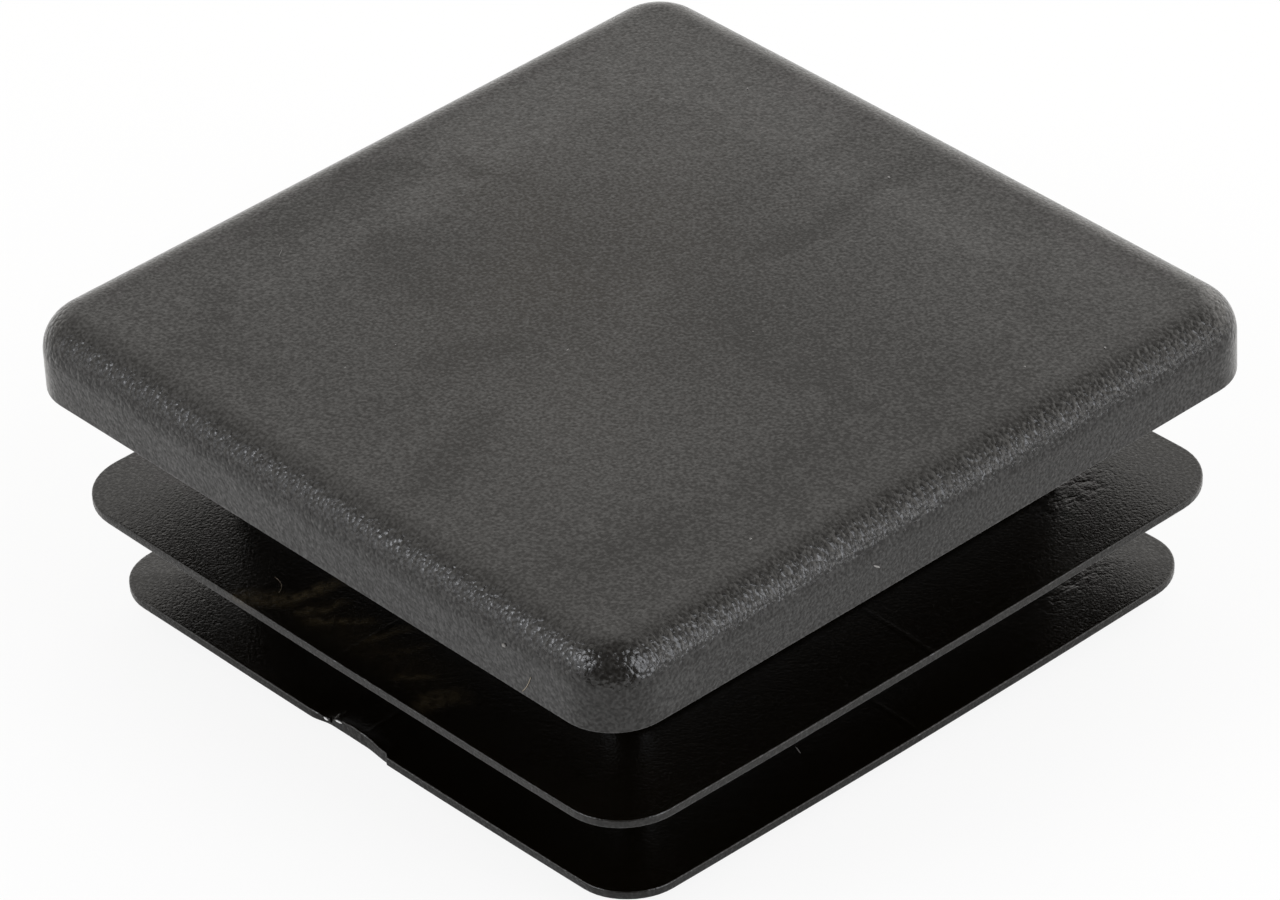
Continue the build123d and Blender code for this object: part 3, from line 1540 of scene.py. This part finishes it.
@dataclass(frozen=True)
class Speck:
    """A grain of dust, or a lump painted white as a glint. Its place and size are in millimetres.

    LUMPS is how far its surface is pushed about, as a share of its width, and LUMP_PITCH the size
    of its lumps.

    Attributes:
        place: Where it lies.
        length: Its length.
        width: Its width and height.
        turn: Degrees that it is turned about +Z.
        dip: Degrees that its far end hangs down.
    """

    LUMPS = 0.16
    LUMP_PITCH = 0.06 * MM

    place: Place
    length: float
    width: float
    turn: float = 0.0
    dip: float = 0.0

    def add_to(self, shape: bmesh.types.BMesh) -> None:
        """Adds the grain to a shape, as a small rough lump.

        Args:
            shape: The shape that takes it.
        """
        turn = Matrix.Rotation(math.radians(self.turn), 4, "Z")
        dip = Matrix.Rotation(math.radians(self.dip), 4, "Y")
        size = Matrix.Diagonal((self.length * MM, self.width * MM, self.width * MM, 1.0))
        place = Matrix.Translation(Vector(self.place) * MM) @ turn @ dip @ size
        lump = bmesh.ops.create_icosphere(shape, subdivisions=2, radius=0.5, matrix=place)["verts"]
        for vert in lump:
            vert.co += noise.noise_vector(vert.co / self.LUMP_PITCH) * (self.LUMPS * self.width * MM)


FIBRES = (
    Fibre("lint_on_fin", (-8.22, -20.97, -7.42), (-7.20, -20.99, -7.39), (-6.95, -21.76, -7.44), 0.008),
    Fibre("lint_on_side", (18.69, -25.03, 1.60), (18.46, -25.05, 0.90), (17.94, -25.03, 0.28), 0.028),
)

# The height of the crown's top, in millimetres.
TOP_OF_CROWN = 5.09

SPECKS = (
    Speck((1.23, 18.75, 5.03), 0.20, 0.125, 20.0),
    Speck((-11.68, 19.71, 5.02), 0.16, 0.105, -30.0),
    Speck((-7.04, 18.42, 5.03), 0.08, 0.06),
    Speck((0.94, -6.02, TOP_OF_CROWN), 0.25, 0.055, 104.0),
    Speck((-6.47, -12.36, TOP_OF_CROWN), 0.09, 0.05, 10.0),
    Speck((-6.83, -15.79, 5.06), 0.11, 0.065, 60.0),
    Speck((7.15, 2.41, TOP_OF_CROWN), 0.09, 0.065),
    Speck((20.55, 10.55, 5.01), 0.15, 0.09, 15.0),
    Speck((21.50, -11.30, 5.00), 0.16, 0.115, 40.0),
    Speck((22.46, 14.96, 5.00), 0.15, 0.12),
    Speck((21.20, 21.30, 5.00), 0.06, 0.05),
    Speck((-18.40, -10.68, 5.03), 0.95, 0.022, -55.0),
    Speck((16.60, -25.02, 2.66), 0.28, 0.22),
    Speck((25.08, -5.40, 1.88), 0.62, 0.11, 90.0, 38.0),
    Speck((18.85, -6.09, -13.55), 0.70, 0.07, -19.0),
)

# Small lumps beside the torn rim, painted white as the glints where the rim's edge catches the left
# lamp.
PAINTED_GLINT_LUMPS = (
    Speck((-2.94, -22.27, -13.99), 0.40, 0.10, 0.0, 6.0),
    Speck((-1.88, -22.20, -13.69), 0.62, 0.10, 0.0, -8.0),
)


@dataclass(frozen=True)
class MatteFinish:
    """A plain matte finish with a slight mottle, for lint, dust and the lumps painted white as glints.

    Attributes:
        name: The material's name.
        colour: Its colour where it is palest.
        mottle: How much darker it is where it is darkest, as a share.
        mottle_pitch: Size of the mottle's spots.
        mottle_starts: Where in the noise it is darkest and where it is palest.
        roughness: How rough it is.
    """

    name: str
    colour: Colour
    mottle: float = 0.12
    mottle_pitch: float = 0.4 * MM
    mottle_starts: Span = (0.35, 0.65)
    roughness: float = 0.8

    def build(self) -> bpy.types.Material:
        """Builds the material.

        Returns:
            The finished material.
        """
        material, graph = start_material(self.name)
        spots = graph.noise(graph.coordinate("Object"), self.mottle_pitch)
        dark = tuple(channel * (1.0 - self.mottle) for channel in self.colour[:3]) + (1.0,)
        colour = graph.mix(graph.ease(spots, *self.mottle_starts), dark, self.colour)
        sockets = {"Base Color": colour, "Roughness": self.roughness}
        shader = graph.node("ShaderNodeBsdfPrincipled", {}, sockets)
        graph.node("ShaderNodeOutputMaterial", {}, {"Surface": shader})
        return material


LINT = MatteFinish("lint", (0.46, 0.39, 0.29, 1.0))
DUST = MatteFinish("dust", (0.22, 0.213, 0.205, 1.0))
# Painted glint: the white of the lumps beside the torn rim.
PAINTED_GLINT_WHITE = MatteFinish("painted_glint_white", (0.88, 0.88, 0.88, 1.0))


# ------------------------------------------------------------------------ studio


@dataclass(frozen=True)
class Softbox:
    """A rectangular soft light that faces the cap.

    Attributes:
        name: Its name.
        azimuth: Degrees from +X towards +Y.
        elevation: Degrees above the horizon.
        width: Its width, in metres.
        height: Its height, in metres.
        radiance: How bright its face is.
        colour: The colour of its light.
        distance: How far from the cap's origin it hangs, in metres.
    """

    name: str
    azimuth: float
    elevation: float
    width: float
    height: float
    radiance: float
    colour: tuple[float, float, float] = (0.97, 0.99, 1.04)
    distance: float = 0.8

    def build(self) -> bpy.types.Object:
        """Builds the light.

        Returns:
            The new light, out of the camera's sight.
        """
        light = bpy.data.lights.new(self.name, "AREA")
        light.shape = "RECTANGLE"
        light.size, light.size_y = self.width, self.height
        light.energy = self.radiance * math.pi * self.width * self.height
        light.color = self.colour
        lamp = put_in_scene(self.name, light)
        away = direction(self.azimuth, self.elevation)
        turn = away.to_track_quat("Z", "Y").to_matrix().to_4x4()
        lamp.matrix_world = Matrix.Translation(away * self.distance) @ turn
        lamp.visible_camera = False
        return lamp


@dataclass(frozen=True)
class Lobe:
    """A soft round patch of the tent.

    Attributes:
        azimuth: Degrees from +X towards +Y.
        elevation: Degrees above the horizon.
        core: Degrees from its middle to where it starts to fade.
        rim: Degrees from its middle to where it ends.
    """

    azimuth: float
    elevation: float
    core: float
    rim: float

    def share(self, graph: NodeGraph, toward: Signal) -> Signal:
        """How much of it is seen in a direction.

        Args:
            graph: The graph that takes it.
            toward: The direction.

        Returns:
            1 in its middle, 0 outside it.
        """
        middle = tuple(direction(self.azimuth, self.elevation))
        nearness = graph.vector_math("DOT_PRODUCT", toward, middle, output=1)
        return graph.ease(nearness, math.cos(math.radians(self.rim)), math.cos(math.radians(self.core)))


@dataclass(frozen=True)
class LightTent:
    """The white room around the table: bright to the right, dark where the viewer stands.

    Attributes:
        wall: Brightness of its walls.
        ceiling: Brightness of its ceiling.
        ceiling_starts: From where to where upwards the walls turn into it, in degrees.
        window: Where the bright patch of the wall is.
        window_light: How much brightness it adds.
        gap: Where the viewer blocks the light.
        gap_depth: The share of the light that is blocked.
        tint: The colour of the light.
    """

    wall: float = 1.0
    ceiling: float = 1.22
    ceiling_starts: Span = (39.0, 47.0)
    window: Lobe = Lobe(77.0, 12.0, 33.0, 54.0)
    window_light: float = 0.90
    gap: Lobe = Lobe(-40.0, 34.0, 41.0, 90.0)
    gap_depth: float = 0.66
    tint: Colour = (1.025, 1.0, 0.965, 1.0)

    def build(self) -> bpy.types.World:
        """Builds the world's light. The camera sees plain white instead.

        Returns:
            The new world.
        """
        world = bpy.data.worlds.new("light_tent")
        world.use_nodes = True
        bpy.context.scene.world = world
        graph = NodeGraph(world.node_tree)
        toward = graph.coordinate("Generated")
        start, end = (math.sin(math.radians(angle)) for angle in self.ceiling_starts)
        wall = self.wall + self.window.share(graph, toward) * self.window_light
        above = graph.ease(graph.axis(toward, "Z"), start, end)
        lit = 1.0 - self.gap.share(graph, toward) * self.gap_depth
        strength = (wall * (1.0 - above) + self.ceiling * above) * lit
        seen = graph.node("ShaderNodeLightPath", output="Is Camera Ray")
        light = graph.node("ShaderNodeBackground", {}, {"Color": self.tint, "Strength": strength})
        plain = graph.node("ShaderNodeBackground", {}, {"Color": WHITE, "Strength": 1.0})
        both = graph.node("ShaderNodeMixShader", {}, {0: seen, 1: light, 2: plain})
        graph.node("ShaderNodeOutputWorld", {}, {"Surface": both})
        return world


@dataclass(frozen=True)
class Table:
    """The plain pale table that the cap stands on, overexposed where it is seen directly.

    Attributes:
        z: Height of its top.
        reach: How far it reaches from the cap on each side, in metres.
        colour: Its colour.
        roughness: How rough it is.
        glare: The share of it that the camera sees as plain white.
    """

    z: float
    reach: float = 2.5
    colour: Colour = (0.832, 0.832, 0.827, 1.0)
    roughness: float = 0.9
    glare: float = 0.88

    def dress(self) -> bpy.types.Material:
        """Builds the finish of the table's top.

        Returns:
            The finished material.
        """
        material, graph = start_material("pale_table")
        seen = graph.node("ShaderNodeLightPath", output="Is Camera Ray")
        sockets = {"Base Color": self.colour, "Roughness": self.roughness}
        top = graph.node("ShaderNodeBsdfPrincipled", {}, sockets)
        white = graph.node("ShaderNodeEmission", {}, {"Color": WHITE, "Strength": 1.0})
        both = graph.node("ShaderNodeMixShader", {}, {0: seen * self.glare, 1: top, 2: white})
        graph.node("ShaderNodeOutputMaterial", {}, {"Surface": both})
        return material

    def build(self) -> bpy.types.Object:
        """Builds the table's top.

        Returns:
            The new object, which belongs to the studio.
        """
        shape = bmesh.new()
        level = Matrix.Translation((0.0, 0.0, self.z))
        bmesh.ops.create_grid(shape, x_segments=1, y_segments=1, size=self.reach, matrix=level)
        table = put_in_scene("table_top", mesh_of(shape, "table_top", self.dress()))
        return table


@dataclass(frozen=True)
class LongLensCamera:
    """A long lens that looks down on the cap's front corner.

    Attributes:
        azimuth: Degrees. At 0 it looks along +Y.
        elevation: Degrees above the horizon.
        roll: Degrees that the camera is tipped.
        distance: From the cap's origin.
        lens: Focal length in millimetres.
        sensor: Width of the sensor in millimetres.
        clip: The nearest and the farthest that it sees, in metres.
        frame_px: Width and height of the frame.
        origin_px: Where the cap's origin falls in the frame.
    """

    azimuth: float = 49.142
    elevation: float = 34.917
    roll: float = -3.104
    distance: float = 448.83 * MM
    lens: float = 221.98
    sensor: float = 36.0
    clip: Span = (0.01, 20.0)
    frame_px: Span = (1280.0, 900.0)
    origin_px: Span = (639.3, 374.15)

    def build(self) -> bpy.types.Object:
        """Builds the camera and makes it the scene's.

        Returns:
            The new camera.
        """
        back = direction(self.azimuth - 90.0, self.elevation)
        level = direction(self.azimuth, 0.0)
        upright = back.cross(level)
        tip = math.radians(self.roll)
        right = level * math.cos(tip) + upright * math.sin(tip)
        up = upright * math.cos(tip) - level * math.sin(tip)
        metres_per_px = self.distance * self.sensor / (self.lens * self.frame_px[0])
        across = (self.origin_px[0] - 0.5 * self.frame_px[0]) * metres_per_px
        down = (self.origin_px[1] - 0.5 * self.frame_px[1]) * metres_per_px
        place = back * self.distance - right * across + up * down
        data = bpy.data.cameras.new("long_lens")
        data.lens, data.sensor_width = self.lens, self.sensor
        data.clip_start, data.clip_end = self.clip
        camera = put_in_scene("long_lens", data)
        turn = Matrix((right, up, back)).transposed().to_4x4()
        camera.matrix_world = Matrix.Translation(place) @ turn
        bpy.context.scene.camera = camera
        return camera


SOFTBOXES = (
    Softbox("left_softbox", -112.0, 26.5, 0.66, 0.60, 1.05),
    Softbox("left_lamp", -110.0, 38.0, 0.24, 0.24, 6.6),
    Softbox("right_softbox", 11.0, 28.5, 0.33, 0.78, 4.7),
    Softbox("low_softbox", 40.0, 8.0, 0.14, 0.35, 1.8),
)


def show_specks(name: str, specks: tuple[Speck, ...], material: bpy.types.Material) -> None:
    """Builds a group of grains as one piece.

    Args:
        name: The piece's name.
        specks: The grains.
        material: Their finish.
    """
    shape = bmesh.new()
    for speck in specks:
        speck.add_to(shape)
    show_piece(shape, name, material)


def lay_lint_dust_and_painted_glints() -> None:
    """Lays the lint and the dust on the cap, and puts lumps beside the torn rim that are painted white
    as glints.
    """
    lint = LINT.build()
    for fibre in FIBRES:
        fibre.build(lint)
    show_specks("dust", SPECKS, DUST.build())
    # Painted glints: white lumps beside the torn rim.
    show_specks("painted_glint_lumps", PAINTED_GLINT_LUMPS, PAINTED_GLINT_WHITE.build())


def light_the_table(z: float) -> None:
    """Builds the camera, the table and the light.

    Args:
        z: Height of the table's top.
    """
    LongLensCamera().build()
    Table(z).build()
    LightTent().build()
    for softbox in SOFTBOXES:
        softbox.build()
    bpy.context.scene.view_settings.view_transform = "Standard"
    log.info("studio: 1 camera, %d softboxes", len(SOFTBOXES))


def main() -> None:
    """Builds the cap, what lies on it and the studio around it."""
    logging.basicConfig(level=logging.INFO, format="%(name)s: %(message)s")
    noise.seed_set(NOISE_SEED)
    low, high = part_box(NODE)
    EndCap(low, high).build(MouldedPolyethylene().build())
    lay_lint_dust_and_painted_glints()
    light_the_table(low.z)


if __name__ == "__main__":
    main()
